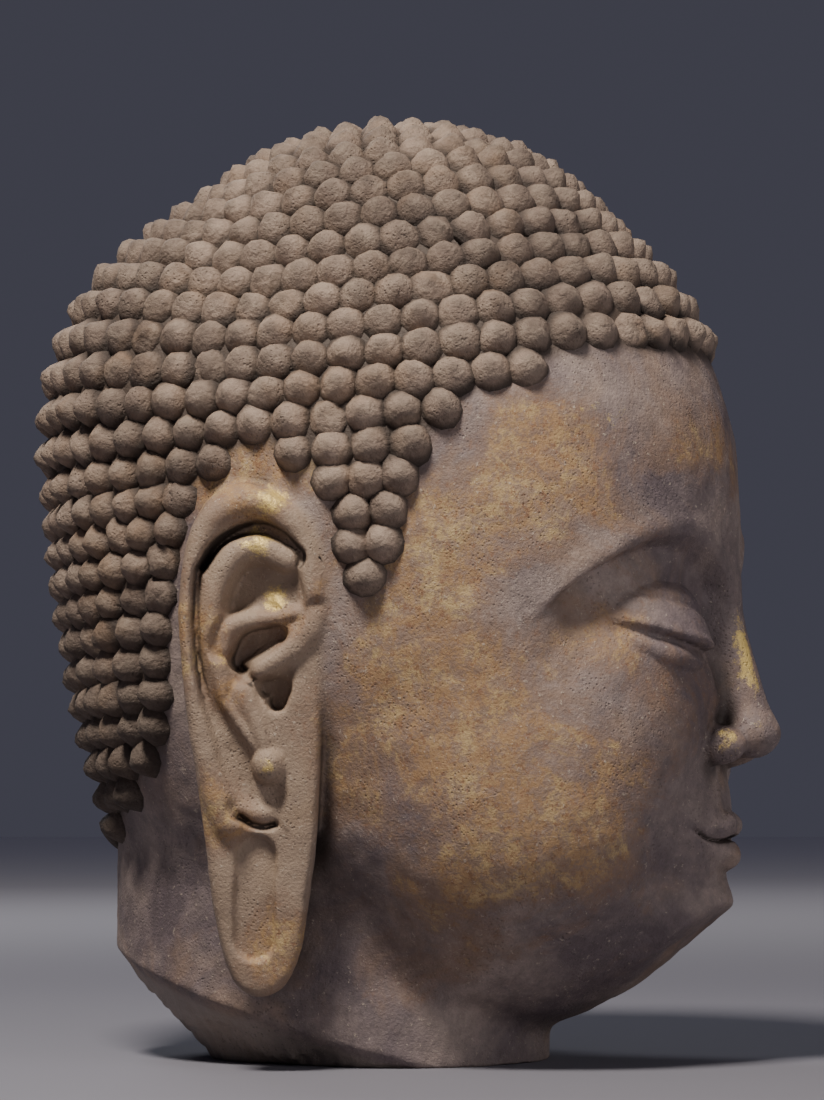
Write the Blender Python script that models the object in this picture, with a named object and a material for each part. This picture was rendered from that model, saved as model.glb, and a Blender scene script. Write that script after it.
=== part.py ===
"""A carved stone buddha head, life-and-a-half size: one solid piece of stone.

The form is a smooth union of egg shapes, carved by ridges and grooves. Points spread over the
directions seen from the middle of the head are pushed out to that form and wrapped in faces. Each
curl of the hair is a six-sided bud. The ears are carved slabs, joined on by a Boolean union.

+X is the figure's left, -Y its front and +Z up, in metres. The origin is the middle of the neck,
on the flat that the head stands on.
"""

import math

import bmesh
import bpy
import numpy as np
from mathutils import Vector
from mathutils.geometry import delaunay_2d_cdt

# Driving sizes. The carving's proportions are in six-hundredths of the head's height.
head_height = 0.600
unit = head_height / 600

# Mass of the head as eggs blended into each other: (middle, half sizes, width of the blend)
skull = ((0, -40, 358), (176, 221, 209))
mass_eggs = (
    ((0, 0, 255), (160, 161, 198), 40),  # lower head
    ((0, -40, 490), (128, 136, 99), 24),  # crown
    ((0, 54, 410), (150, 127, 130), 24),  # back of the crown
    ((0, -102, 250), (157, 155, 198), 36),  # face
    ((62, -128, 158), (84, 104, 96), 36),  # cheeks
    ((0, -92, 96), (106, 122, 80), 24),  # throat
    ((0, -204, 98), (42, 48, 38), 36),  # chin
)

# Hair: buds in staggered rows
curl_pitch = 22.5
curl_height = 11.5
row_pitch = curl_pitch * math.sqrt(3) / 2
row_tilt = math.radians(3.4)  # the rows sink a little towards the back
hair_middle = (0.0, -38.0, 368.0)
hair_radius = 178.0  # from the hair's middle to its side
hair_reach = 215.0  # from the hair's middle to its front
first_row = 443.0  # height of the lowest whole row, over the forehead

# The hairline as (y, z) seen from the side, from the forehead past the temple, over the ear and
# down behind it to the nape
hairline = (
    (-400, 432), (-196, 431), (-167, 414), (-139, 400), (-116, 369), (-100, 316), (-84, 272),
    (-66, 298), (-61, 340), (-46, 358), (-12, 374), (16, 362), (35, 340), (42, 304), (50, 257),
    (57, 196), (98, 160), (134, 134), (400, 132),
)

# Face, as (x, z) on the figure's left half: brow, closed lid's edge and the parting of the lips
brow_line = ((0, 283), (12, 293), (34, 314), (66, 324), (98, 316), (130, 290), (150, 262))
lid_line = ((26, 255), (40, 255), (60, 258), (80, 263), (98, 270))
lip_line = ((0, 140), (12, 138), (28, 139), (43, 145))
nose_foot = ((206, 27), (222, 20), (250, 16), (292, 13))  # as (z, x)
eye_middle = (62, 268)
socket_depth = 12
lid_bulge = 11

# Skin: spacing of the points
face_pitch = 21.0
feature_pitch = 6.4
rest_pitch = 26.0

# Ear
ear_middle = (176.0, -14.0, 203.0)  # of the right ear's mid-line, with x to the outside
ear_flare = math.radians(17)  # its rear edge stands out by this angle
ear_thickness = 26.0
ear_pitch = 9.0
ear_outline = (
    (-3, 157), (-28, 139), (-42, 92), (-41, 36), (-35, -40), (-30, -110), (-20, -149), (0, -157),
    (18, -138), (30, -80), (37, -16), (40, 50), (43, 95), (31, 136),
)
# Carving of the ear: (height over its flat, half width, line through the middle as (u, v))
ear_carving = (
    (-13, 12, ((-38, 86), (-30, 112), (-10, 129), (12, 127), (24, 110))),  # groove under the rim
    (-12, 12, ((-18, 74), (-4, 94), (20, 101), (34, 98))),  # hollow of the upper fold
    (-9, 16, ((-9, 62), (-11, 38), (-5, 12), (8, -14))),  # bowl
    (-13, 13, ((-1, 52), (12, 42), (16, 28))),  # ear hole
    (-9, 13, ((-36, 30), (-25, -30), (-13, -54), (14, -54), (27, -20))),  # flat behind the bowl
    (-5, 12, ((-3, -66), (-5, -96), (-5, -128))),  # slot of the lobe
)

# Neck: an oval stump, broken off on a slant and flat in its middle
neck_radii = (116.0, 141.0)
neck_back = 3.0  # its oval's middle lies this far behind the origin
break_front = -95.0  # the slant starts this far along y
break_slope = 0.30
break_rise = 1.0  # steepness of the broken face, from the flat out to the neck's edge
star_middle = (0.0, -20.0, 280.0)  # every point of the head shows from here


def smooth_min(a, b, width):
    share = np.clip(0.5 + 0.5 * (b - a) / width, 0, 1)
    return b * (1 - share) + a * share - width * share * (1 - share)


def smooth_max(a, b, width):
    return -smooth_min(-a, -b, width)


def ramp(start, end, value):
    t = np.clip((value - start) / (end - start), 0, 1)
    return t * t * (3 - 2 * t)


def hump(value, middle, width):
    return np.exp(-(((value - middle) / width) ** 2))


def egg(points, middle, radii):
    """Distance to an ellipsoid, negative inside"""
    q = (points - np.array(middle)) / np.array(radii)
    far = np.linalg.norm(q, axis=1)
    steep = np.linalg.norm(q / np.array(radii), axis=1) + 1e-9
    return far * (far - 1) / steep


def tapered_rod(points, start, end, start_radius, end_radius):
    start, end = np.array(start), np.array(end)
    along = end - start
    t = np.clip((points - start) @ along / (along @ along), 0, 1)
    off = np.linalg.norm(points - start - t[:, None] * along, axis=1)
    return off - start_radius - (end_radius - start_radius) * t


def line_height(x, corners):
    """Height of an open line through the corners, rounded by a raised-cosine step between them"""
    xs, zs = np.array(corners, float).T
    at = np.clip(np.searchsorted(xs, x) - 1, 0, len(xs) - 2)
    t = np.clip((x - xs[at]) / (xs[at + 1] - xs[at]), 0, 1)
    slopes = np.gradient(zs, xs)
    gap = xs[at + 1] - xs[at]
    return (
        zs[at] * (1 + 2 * t) * (1 - t) ** 2 + zs[at + 1] * t * t * (3 - 2 * t)
        + gap * slopes[at] * t * (1 - t) ** 2 - gap * slopes[at + 1] * t * t * (1 - t)
    )


def inside_neck(x, y):
    """Distance in from the side of the neck's oval"""
    return (1 - np.hypot(x / neck_radii[0], (y - neck_back) / neck_radii[1])) * neck_radii[0]


def head_mass(points):
    """Skull, nape, cheeks, chin, throat and neck"""
    x, y, z = np.abs(points[:, 0]), points[:, 1], points[:, 2]
    q = np.stack([x, y, z], 1)
    form = egg(q, *skull)
    for middle, radii, blend in mass_eggs:
        form = smooth_min(form, egg(q, middle, radii), blend)
    neck = -inside_neck(points[:, 0], y)
    return smooth_min(form, smooth_max(neck, z - 270, 30), 10)


def face_relief(points):
    """How far the face's carving stands out of the head's mass, in front only"""
    x, z = np.abs(points[:, 0]), points[:, 2]
    below = line_height(x, brow_line) - z
    side = 1 - ramp(108, 146, x)
    relief = -socket_depth * ramp(-2, 12, below) * (1 - ramp(30, 78, below)) * side * ramp(4, 22, x)
    relief += 2 * hump(below, -7, 8) * side
    eye_x, eye_z = eye_middle
    dome = 1 - ((x - eye_x) / 39) ** 2 - ((z - eye_z) / 27) ** 2
    relief += lid_bulge * np.sqrt(np.clip(dome, 0, 1))
    slit = line_height(x, lid_line)
    eye = ramp(26, 36, x) * (1 - ramp(92, 102, x))
    relief -= 4.5 * eye * ramp(-1, 2.5, slit - z) * (1 - ramp(5, 22, slit - z))
    relief += 6 * hump(x, 70, 46) * hump(z, 214, 36)
    relief -= 3 * hump(x - (190 - z) * 0.42, 36, 11) * ramp(128, 150, z) * (1 - ramp(170, 196, z))
    relief -= 3.5 * hump(x, 0, 5) * ramp(156, 160, z) * (1 - ramp(176, 182, z))
    relief -= 4 * hump(z, 112, 12) * hump(x, 0, 30)
    return relief * ramp(-120, -170, points[:, 1])


def nose_and_lips(points, form):
    q = points.copy()
    q[:, 0] = np.abs(q[:, 0])
    ridge = tapered_rod(q, (0, -248, 304), (0, -273, 208), 10, 14)
    form = smooth_min(form, ridge, 14)
    form = smooth_min(form, egg(q, (0, -272, 203), (17, 18, 14)), 8)
    form = smooth_min(form, egg(q, (21, -256, 197), (12, 18, 12)), 6)
    form = smooth_max(form, -egg(q, (10, -264, 185), (6.5, 10, 6)), 3)
    form = smooth_min(form, egg(q, (0, -226, 146), (56, 30, 38)), 24)
    upper = tapered_rod(q, (7, -257.5, 147.5), (40, -243, 146), 7.5, 2.0)
    lower = tapered_rod(q, (0, -256, 129), (28, -246, 136), 9.5, 3.5)
    form = smooth_min(form, upper, 4)
    form = smooth_min(form, lower, 5)
    parting = line_height(q[:, 0], lip_line)
    near = 1 - ramp(36, 44, q[:, 0])
    return form + 3.5 * near * hump(q[:, 2], parting, 2.2) * ramp(-225, -240, q[:, 1])


def break_height(x, y):
    """Height of the broken face under the neck, below zero where the flat is"""
    edge = break_slope * np.clip(y - break_front, 0, None)
    inside = inside_neck(x, y)
    rough = 5 * np.sin(x / 13 + 1) * np.sin(y / 17 + 0.5) + 3 * np.sin(x / 7 - y / 9)
    return edge - break_rise * inside + rough * ramp(4, 20, inside)


def head_form(points):
    """Signed distance to the head without its curls and ears, in six-hundredths"""
    form = head_mass(points) - face_relief(points)
    form = nose_and_lips(points, form)
    return smooth_max(form, break_height(points[:, 0], points[:, 1]) - points[:, 2], 2)


def reach(origins, directions, form=head_form):
    """Points where rays from inside leave the form"""
    near = np.zeros(len(directions))
    far = np.full(len(directions), 420.0)
    for _ in range(26):
        middle = (near + far) / 2
        out = form(origins + directions * middle[:, None]) > 0
        far = np.where(out, middle, far)
        near = np.where(out, near, middle)
    return origins + directions * far[:, None]


def outward(points):
    """Unit normals of the head's mass"""
    step = 2.0
    slope = [head_mass(points + step * axis) - head_mass(points - step * axis) for axis in np.eye(3)]
    slope = np.stack(slope, 1)
    return slope / np.linalg.norm(slope, axis=1)[:, None]


def above_hairline(points):
    edge = np.interp(points[:, 1], *np.array(hairline, float).T)
    return points[:, 2] > edge


def ring(turns, rise, drop):
    """Points on the head in one row of the hair: rise is an angle above the hair's middle, or drop
    is a distance below it"""
    flat = np.stack([np.sin(turns), -np.cos(turns), np.full_like(turns, math.tan(rise))], 1)
    flat /= np.linalg.norm(flat, axis=1)[:, None]
    tilt = np.array([
        (1, 0, 0),
        (0, math.cos(row_tilt), -math.sin(row_tilt)),
        (0, math.sin(row_tilt), math.cos(row_tilt)),
    ])
    origin = np.array(hair_middle) - drop * tilt.T[2]
    return reach(np.tile(origin, (len(turns), 1)), flat @ tilt, head_mass)


def lengths_along(curve):
    return np.concatenate([[0], np.cumsum(np.linalg.norm(np.diff(curve, axis=0), axis=1))])


def points_along(curve, at):
    lengths = lengths_along(curve)
    return np.stack([np.interp(at, lengths, curve[:, k]) for k in range(3)], 1)


def first_rise():
    """Angle of the lowest whole row over the hair's middle, at the side of the head"""
    lift = first_row - hair_middle[2] - math.tan(row_tilt) * hair_reach
    return math.atan2(lift, hair_radius)


def whole_rows():
    """Curls in whole rows, spaced evenly over the crown, with one curl at its top"""
    rises = np.linspace(first_rise(), math.radians(89.9), 200)
    side = np.array([math.pi / 2])
    profile = np.concatenate([ring(side, rise, 0.0) for rise in rises])
    lengths = lengths_along(profile)
    rows = round(lengths[-1] / row_pitch)
    turns = np.linspace(math.pi, 3 * math.pi, 721)
    places = [profile[-1:]]
    for number in range(rows):
        rise = np.interp((rows - 1 - number) / rows * lengths[-1], lengths, rises)
        curve = ring(turns, rise, 0.0)
        total = lengths_along(curve)[-1]
        count = max(6, round(total / curl_pitch))
        at = (np.arange(count) + 0.5 * (number % 2)) * total / count
        places.append(points_along(curve, at))
    return places


def lower_rows():
    """Curls in the rows below, between the forehead's and the ears' edges of the hair"""
    turns = np.linspace(0, 2 * math.pi, 721)  # starts at the front, which is bare here
    angle_step = row_pitch / hair_radius
    nape = min(height for _, height in hairline)
    rows = int((first_rise() * hair_radius + hair_middle[2] - nape) / row_pitch) + 1
    places = []
    for number in range(1, rows + 1):
        rise = first_rise() - number * angle_step
        curve = ring(turns, max(rise, 0.0), max(-rise, 0.0) * hair_radius)
        lengths = lengths_along(curve)
        covered = above_hairline(curve).astype(int)
        starts = np.flatnonzero(np.diff(covered) == 1) + 1
        ends = np.flatnonzero(np.diff(covered) == -1)
        for start, end in zip(starts, ends):
            width = lengths[end] - lengths[start]
            count = round(width / curl_pitch)
            if count > 5 and (number + count) % 2:
                count -= 1
            if count > 0:
                at = lengths[start] + (np.arange(count) + 0.5) * width / count
                places.append(points_along(curve, at))
    return places


def curl_places():
    """Middle of every curl on the scalp"""
    return np.concatenate(whole_rows() + lower_rows())


def toward(points):
    way = points - np.array(star_middle)
    return way / np.linalg.norm(way, axis=1)[:, None]


def apart(points, others, distance):
    """Which points lie further than the distance from all the others"""
    if len(others) == 0 or len(points) == 0:
        return np.ones(len(points), bool)
    return np.array([np.min(np.sum((others - point) ** 2, axis=1)) > distance ** 2 for point in points])


def star_places(pitch):
    """Points about the pitch apart all over the head's form"""
    rows = int(math.pi * 300 / pitch)
    found = []
    for number in range(rows):
        tip = math.pi * (number + 0.5) / rows
        count = max(3, int(2 * math.pi * 260 * math.sin(tip) / pitch))
        turn = (np.arange(count) + 0.5 * (number % 2)) * 2 * math.pi / count
        level = np.full(count, math.cos(tip))
        found.append(np.stack([math.sin(tip) * np.sin(turn), -math.sin(tip) * np.cos(turn), level], 1))
    ways = np.concatenate(found)
    return reach(np.tile(star_middle, (len(ways), 1)), ways)


def on_features(points):
    """Which points lie at the eyes, nose or mouth"""
    x, y, z = np.abs(points[:, 0]), points[:, 1], points[:, 2]
    eyes = (np.abs(x - eye_middle[0]) < 46) & (np.abs(z - eye_middle[1]) < 32)
    nose = (x < 40) & (z > 168) & (z < 310)
    mouth = (x < 44) & (np.abs(z - 140) < 26)
    return (eyes | nose | mouth) & (y < -150)


def on_face(points):
    return (points[:, 1] < -60) & (points[:, 2] > 30)


def skin_places(curls):
    """Points over the skin: close together at the eyes, nose and mouth, and wider at the neck"""
    features = star_places(feature_pitch)
    face = star_places(face_pitch)
    rest = star_places(rest_pitch)
    points = np.concatenate([
        rest[~on_face(rest) & ~on_features(rest)],
        face[on_face(face) & ~on_features(face)],
        features[on_features(features)],
    ])
    points = points[apart(points, curls, 0.85 * curl_pitch)]
    lines = feature_places()
    return np.concatenate([lines, points[apart(points, lines, 0.6 * feature_pitch)]])


def feature_places():
    """Points along the crests and grooves of the face"""
    found = []
    lines = (
        (brow_line, 8, 132, 8, (2, -14)),
        (lid_line, 26, 98, 7, (7, 2, -4)),
        (lip_line, 0, 44, 6, (10, 0, -12)),
    )
    for line, start, end, spacing, offsets in lines:
        across = np.arange(start, end, spacing, dtype=float)
        for offset in offsets:
            height = line_height(across, line) + offset
            for side in (-1, 1):
                origins = np.stack([side * across, np.full(len(across), -20.0), height], 1)
                found.append(reach(origins, np.tile((0.0, -1.0, 0.0), (len(across), 1))))
    height = np.arange(208, 292, 8, dtype=float)
    for share in (-1, -0.5, 0.5, 1):
        origins = np.stack([share * line_height(height, nose_foot), np.full(len(height), -20.0), height], 1)
        found.append(reach(origins, np.tile((0.0, -1.0, 0.0), (len(height), 1))))
    return np.unique(np.round(np.concatenate(found), 3), axis=0)


def skirt_places(curls):
    """Points at the foot of the outermost curls, on the side where no other curl stands"""
    normals = outward(curls)
    level = np.cross(normals, (0.0, 0.0, 1.0))
    level /= np.linalg.norm(level, axis=1)[:, None] + 1e-9
    upward = np.cross(level, normals)
    found = np.zeros((0, 3))
    for number in range(12):
        turn = math.pi * number / 6
        ways = level * math.cos(turn) + upward * math.sin(turn)
        for curl, way in zip(curls, ways):
            others = curls - curl
            gaps = np.linalg.norm(others, axis=1)
            if np.any((gaps > 0) & (gaps < 1.45 * curl_pitch) & (others @ way > 0.6 * gaps)):
                continue
            point = curl + 0.6 * curl_pitch * way
            if len(found) and np.min(np.sum((found - point) ** 2, axis=1)) < (0.4 * curl_pitch) ** 2:
                continue
            found = np.vstack([found, point])
    return reach(np.tile(star_middle, (len(found), 1)), toward(found))


def wrap(directions):
    """Faces of the hull round unit directions, as triples of their numbers"""
    mesh = bmesh.new()
    for direction in directions:
        mesh.verts.new(direction)
    bmesh.ops.convex_hull(mesh, input=mesh.verts[:], use_existing_faces=False)
    bmesh.ops.triangulate(mesh, faces=mesh.faces[:])
    mesh.verts.index_update()
    faces = [tuple(vert.index for vert in face.verts) for face in mesh.faces]
    mesh.free()
    return faces


def head_mesh():
    """Points and faces of the head with its curls, without ears"""
    curls = curl_places()
    skin = np.concatenate([skirt_places(curls), skin_places(curls)])
    bases = np.concatenate([curls, skin])
    faces = np.array(wrap(toward(bases)))
    among = (faces < len(curls)).all(axis=1)
    corners = bases[faces[among]]
    longest = np.linalg.norm(corners - np.roll(corners, 1, axis=1), axis=2).max(axis=1)
    grooves = corners[longest < 2.2 * curl_pitch].mean(axis=1)
    grooves = reach(np.tile(star_middle, (len(grooves), 1)), toward(grooves))
    tips = curls + curl_height * outward(curls)
    directions = toward(np.concatenate([curls, skin, grooves]))
    return np.concatenate([tips, skin, grooves]), wrap(directions)


def new_object(name, points, faces, collection):
    mesh = bpy.data.meshes.new(name)
    mesh.from_pydata([tuple(point) for point in points], [], [tuple(face) for face in faces])
    shape = bmesh.new()
    shape.from_mesh(mesh)
    bmesh.ops.recalc_face_normals(shape, faces=shape.faces[:])
    shape.to_mesh(mesh)
    shape.free()
    mesh.shade_smooth()
    mesh.set_sharp_from_angle(angle=math.radians(38))
    item = bpy.data.objects.new(name, mesh)
    collection.objects.link(item)
    return item


def closed_curve(corners, parts):
    """A smooth closed curve through the corners, with some points between each two"""
    ring_points = np.array(corners, float)
    count = len(ring_points)
    curve = []
    for number in range(count):
        a, b, c, d = (ring_points[(number + k) % count] for k in (-1, 0, 1, 2))
        for t in np.arange(parts) / parts:
            curve.append(0.5 * (
                2 * b + (c - a) * t + (2 * a - 5 * b + 4 * c - d) * t * t
                + (3 * b - a - 3 * c + d) * t ** 3
            ))
    return np.array(curve)


def edge_distance(points, loop):
    """Distance from points to the edge of a closed outline, negative outside it"""
    nearest = np.full(len(points), 1e9)
    inside = np.zeros(len(points), bool)
    for a, b in zip(loop, np.roll(loop, -1, axis=0)):
        side = b - a
        t = np.clip((points - a) @ side / (side @ side), 0, 1)
        nearest = np.minimum(nearest, np.linalg.norm(points - a - t[:, None] * side, axis=1))
        level = (a[1] > points[:, 1]) != (b[1] > points[:, 1])
        crossing = a[0] + (points[:, 1] - a[1]) * side[0] / (side[1] if side[1] else 1e-9)
        inside ^= level & (points[:, 0] < crossing)
    return np.where(inside, nearest, -nearest)


def stroke(points, corners, width):
    """1 along a line through the corners, fading to 0 at the width"""
    nearest = np.full(len(points), 1e9)
    corners = np.array(corners, float)
    for a, b in zip(corners[:-1], corners[1:]):
        side = b - a
        t = np.clip((points - a) @ side / (side @ side), 0, 1)
        nearest = np.minimum(nearest, np.linalg.norm(points - a - t[:, None] * side, axis=1))
    return 1 - ramp(0.25 * width, width, nearest)


def ear_relief(points, loop):
    """Height of the ear's carving over its own flat"""
    relief = -9 * (1 - ramp(-1, 9, edge_distance(points, loop)))
    for height, half_width, line in ear_carving:
        relief += height * stroke(points, line, half_width)
    return relief


def dotted(line, spacing):
    """Points along a line through the corners, about the spacing apart"""
    corners = np.array(line, float)
    lengths = np.concatenate([[0], np.cumsum(np.linalg.norm(np.diff(corners, axis=0), axis=1))])
    at = np.linspace(0, lengths[-1], max(2, round(lengths[-1] / spacing) + 1))
    return np.stack([np.interp(at, lengths, corners[:, k]) for k in (0, 1)], 1)


def ear_place(flat, depth, side):
    """Points of the ear in the head's frame, from its own flat and the depth out of it"""
    u, v = flat[:, 0], flat[:, 1]
    middle_x, middle_y, middle_z = ear_middle
    bow = middle_x + 0.085 * v - 0.00018 * v * v
    x = bow + depth * math.cos(ear_flare) - u * math.sin(ear_flare)
    y = middle_y - u * math.cos(ear_flare) - depth * math.sin(ear_flare)
    return np.stack([side * x, y, middle_z + v], 1)


def ear_object(name, side, collection):
    """A slab with a carved face, on a narrower root that reaches into the head"""
    loop = closed_curve(ear_outline, 4)
    carved = np.zeros((0, 2))
    for height, half_width, line in ear_carving:
        middle = dotted(line, ear_pitch)
        along = np.gradient(middle, axis=0)
        across = np.stack([-along[:, 1], along[:, 0]], 1) / np.linalg.norm(along, axis=1)[:, None]
        beside = [middle, middle + half_width * across, middle - half_width * across]
        for points in beside:
            points = points[edge_distance(points, loop) > 0.5 * ear_pitch]
            carved = np.vstack([carved, points[apart(points, carved, 0.55 * ear_pitch)]])
    rim = dotted(np.vstack([loop, loop[:1]]) * (0.78, 0.94), ear_pitch * 1.3)
    carved = np.vstack([carved, rim[apart(rim, carved, 0.6 * ear_pitch)]])
    rows = int(330 / (ear_pitch * math.sqrt(3) / 2))
    inner = []
    for number in range(rows):
        across = np.arange(-60, 60, ear_pitch) + ear_pitch / 2 * (number % 2)
        level = np.full(len(across), -165 + number * ear_pitch * math.sqrt(3) / 2)
        inner.append(np.stack([across, level], 1))
    inner = np.concatenate(inner)
    inner = inner[edge_distance(inner, loop) > 0.6 * ear_pitch]
    inner = inner[apart(inner, carved, 0.75 * ear_pitch)]
    flat = np.concatenate([loop, carved, inner])
    count = len(loop)
    edges = [(number, (number + 1) % count) for number in range(count)]
    cut = delaunay_2d_cdt([Vector(point) for point in flat], edges, [], 1, 1e-5)
    flat = np.array([tuple(point) for point in cut[0]])
    order = [cut[3].index([number]) if [number] in cut[3] else None for number in range(count)]
    points = [ear_place(flat, ear_relief(flat, loop), side)]
    faces = [tuple(face) for face in cut[2]]
    border = [number if place is None else place for number, place in enumerate(order)]
    middle = loop.mean(axis=0)
    total = len(flat)
    for share, depth in ((1.0, 0.7 * -ear_thickness), (0.93, -ear_thickness), (0.62, -34), (0.5, -90)):
        shrunk = middle + (loop - middle) * share
        points.append(ear_place(shrunk, np.full(count, float(depth)), side))
        below = list(range(total, total + count))
        for a in range(count):
            b = (a + 1) % count
            faces.append((border[a], below[a], below[b], border[b]))
        border = below
        total += count
    faces.append(tuple(border))
    item = new_object(name, np.concatenate(points) * unit, faces, collection)
    return item


def join(target, tool, operation):
    step = target.modifiers.new(tool.name, "BOOLEAN")
    step.operation = operation
    step.object = tool
    step.solver = "EXACT"


def underside_cutter(collection):
    """A block with its top on the flat that the head stands on"""
    shape = bmesh.new()
    bmesh.ops.create_cube(shape, size=head_height)
    bmesh.ops.translate(shape, verts=shape.verts[:], vec=(0, 0, -head_height / 2))
    mesh = bpy.data.meshes.new("underside_cutter")
    shape.to_mesh(mesh)
    shape.free()
    block = bpy.data.objects.new("underside_cutter", mesh)
    collection.objects.link(block)
    block.hide_render = True
    block.display_type = "WIRE"
    return block


def stone_finish():
    stone = bpy.data.materials.new("carved_limestone")
    stone.use_nodes = True
    shader = stone.node_tree.nodes["Principled BSDF"]
    shader.inputs["Base Color"].default_value = (0.21, 0.165, 0.13, 1)
    shader.inputs["Roughness"].default_value = 0.85
    shader.inputs["Metallic"].default_value = 0.0
    return stone


def clear_scene():
    for item in list(bpy.data.objects):
        bpy.data.objects.remove(item, do_unlink=True)


def main():
    clear_scene()
    shown = bpy.data.collections.new("buddha_head")
    tools = bpy.data.collections.new("shaping_tools")
    bpy.context.scene.collection.children.link(shown)
    bpy.context.scene.collection.children.link(tools)
    points, faces = head_mesh()
    head = new_object("buddha_head", points * unit, faces, shown)
    head.data.materials.append(stone_finish())
    for name, side in (("right_ear_form", -1), ("left_ear_form", 1)):
        ear = ear_object(name, side, tools)
        ear.hide_render = True
        ear.display_type = "WIRE"
        join(head, ear, "UNION")
    join(head, underside_cutter(tools), "DIFFERENCE")


main()
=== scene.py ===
# Looks of the stone buddha head: weathered limestone with remains of ochre and gilding.
import math
import time

import bmesh
import bpy
import numpy as np
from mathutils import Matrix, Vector


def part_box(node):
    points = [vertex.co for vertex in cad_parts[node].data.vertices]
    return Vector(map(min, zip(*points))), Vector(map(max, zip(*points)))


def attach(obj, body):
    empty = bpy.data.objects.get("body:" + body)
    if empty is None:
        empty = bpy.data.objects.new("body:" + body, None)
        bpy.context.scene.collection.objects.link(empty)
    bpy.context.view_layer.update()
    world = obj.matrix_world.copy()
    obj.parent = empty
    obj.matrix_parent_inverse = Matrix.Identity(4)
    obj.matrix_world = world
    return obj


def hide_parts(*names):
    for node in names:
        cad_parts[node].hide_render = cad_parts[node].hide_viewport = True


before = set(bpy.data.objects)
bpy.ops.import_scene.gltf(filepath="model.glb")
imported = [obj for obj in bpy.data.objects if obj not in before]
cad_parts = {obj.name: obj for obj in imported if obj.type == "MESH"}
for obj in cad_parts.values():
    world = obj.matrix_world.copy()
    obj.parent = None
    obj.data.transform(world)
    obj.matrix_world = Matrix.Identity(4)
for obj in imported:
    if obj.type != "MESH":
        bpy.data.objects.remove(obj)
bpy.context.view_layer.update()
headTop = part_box("buddha_head")[1][2]
unit = headTop / 600  # the carving is laid out in six-hundredths of the head's height
startTime = time.time()


def report(words):
    print(f"{time.time() - startTime:6.1f} s  {words}")


def newObject(name, data):
    obj = bpy.data.objects.new(name, data)
    bpy.context.scene.collection.objects.link(obj)
    return obj


# Camera: a little below the middle of the head and 19 degrees off full profile
viewSettings = {
    "azimuth": -71.0,
    "elevation": -4.0,
    "distance": 2300.0,
    "middle": (0.0, -36.0, 323.0),
    "shiftRight": 14.0,
    "frameHeight": 706.0,
}


def addCamera(view):
    turn, lift = math.radians(view["azimuth"]), math.radians(view["elevation"])
    back = Vector((math.sin(turn) * math.cos(lift), -math.cos(turn) * math.cos(lift), math.sin(lift)))
    right = Vector((math.cos(turn), math.sin(turn), 0))
    target = (Vector(view["middle"]) + right * view["shiftRight"]) * unit
    data = bpy.data.cameras.new("camera")
    camera = newObject("camera", data)
    distance = view["distance"] * unit
    camera.location = target + back * distance
    camera.rotation_euler = (-back).to_track_quat("-Z", "Y").to_euler()
    data.sensor_width = 36
    data.lens = data.sensor_width * distance / (view["frameHeight"] * unit)
    bpy.context.scene.camera = camera
    return target, back, right


# Blending and curve helpers, all on arrays of points
def smoothMin(a, b, width):
    share = np.clip(0.5 + 0.5 * (b - a) / width, 0, 1)
    return b * (1 - share) + a * share - width * share * (1 - share)


def smoothMax(a, b, width):
    return -smoothMin(-a, -b, width)


def ramp(start, end, value):
    t = np.clip((value - start) / (end - start), 0, 1)
    return t * t * (3 - 2 * t)


def hump(value, middle, width):
    return np.exp(-(((value - middle) / width) ** 2))


def band(value, start, full, fade, end):
    # 1 from full to fade, and 0 before start and past end
    return ramp(start, full, value) * (1 - ramp(fade, end, value))


def egg(points, middle, radii):
    radii = np.array(radii, np.float32)
    q = (points - np.array(middle, np.float32)) / radii
    far = np.sqrt((q * q).sum(1))
    q /= radii
    return far * (far - 1) / (np.sqrt((q * q).sum(1)) + 1e-9)


def taperedRod(points, start, end, startRadius, endRadius):
    start, end = np.array(start, np.float32), np.array(end, np.float32)
    along = end - start
    t = np.clip((points - start) @ along / (along @ along), 0, 1)
    off = points - start - t[:, None] * along
    return np.sqrt((off * off).sum(1)) - startRadius - (endRadius - startRadius) * t


def lineHeight(x, corners):
    # A smooth open line through the corners
    xs, zs = np.array(corners, float).T
    at = np.clip(np.searchsorted(xs, x) - 1, 0, len(xs) - 2)
    gap = xs[at + 1] - xs[at]
    t = np.clip((x - xs[at]) / gap, 0, 1)
    slopes = np.gradient(zs, xs)
    return (
        zs[at] * (1 + 2 * t) * (1 - t) ** 2 + zs[at + 1] * t * t * (3 - 2 * t)
        + gap * slopes[at] * t * (1 - t) ** 2 - gap * slopes[at + 1] * t * t * (1 - t)
    )


def curveThrough(corners, parts, closed=False):
    corners = np.array(corners, float)
    if closed:
        padded = np.vstack([corners[-1:], corners, corners[:2]])
    else:
        padded = np.vstack([2 * corners[0] - corners[1], corners, 2 * corners[-1] - corners[-2]])
    curve = []
    for a, b, c, d in zip(padded[:-3], padded[1:-2], padded[2:-1], padded[3:]):
        for t in np.arange(parts) / parts:
            curve.append(0.5 * (
                2 * b + (c - a) * t + (2 * a - 5 * b + 4 * c - d) * t * t
                + (3 * b - a - 3 * c + d) * t ** 3
            ))
    if not closed:
        curve.append(padded[-2])
    return np.array(curve, np.float32)


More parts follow.
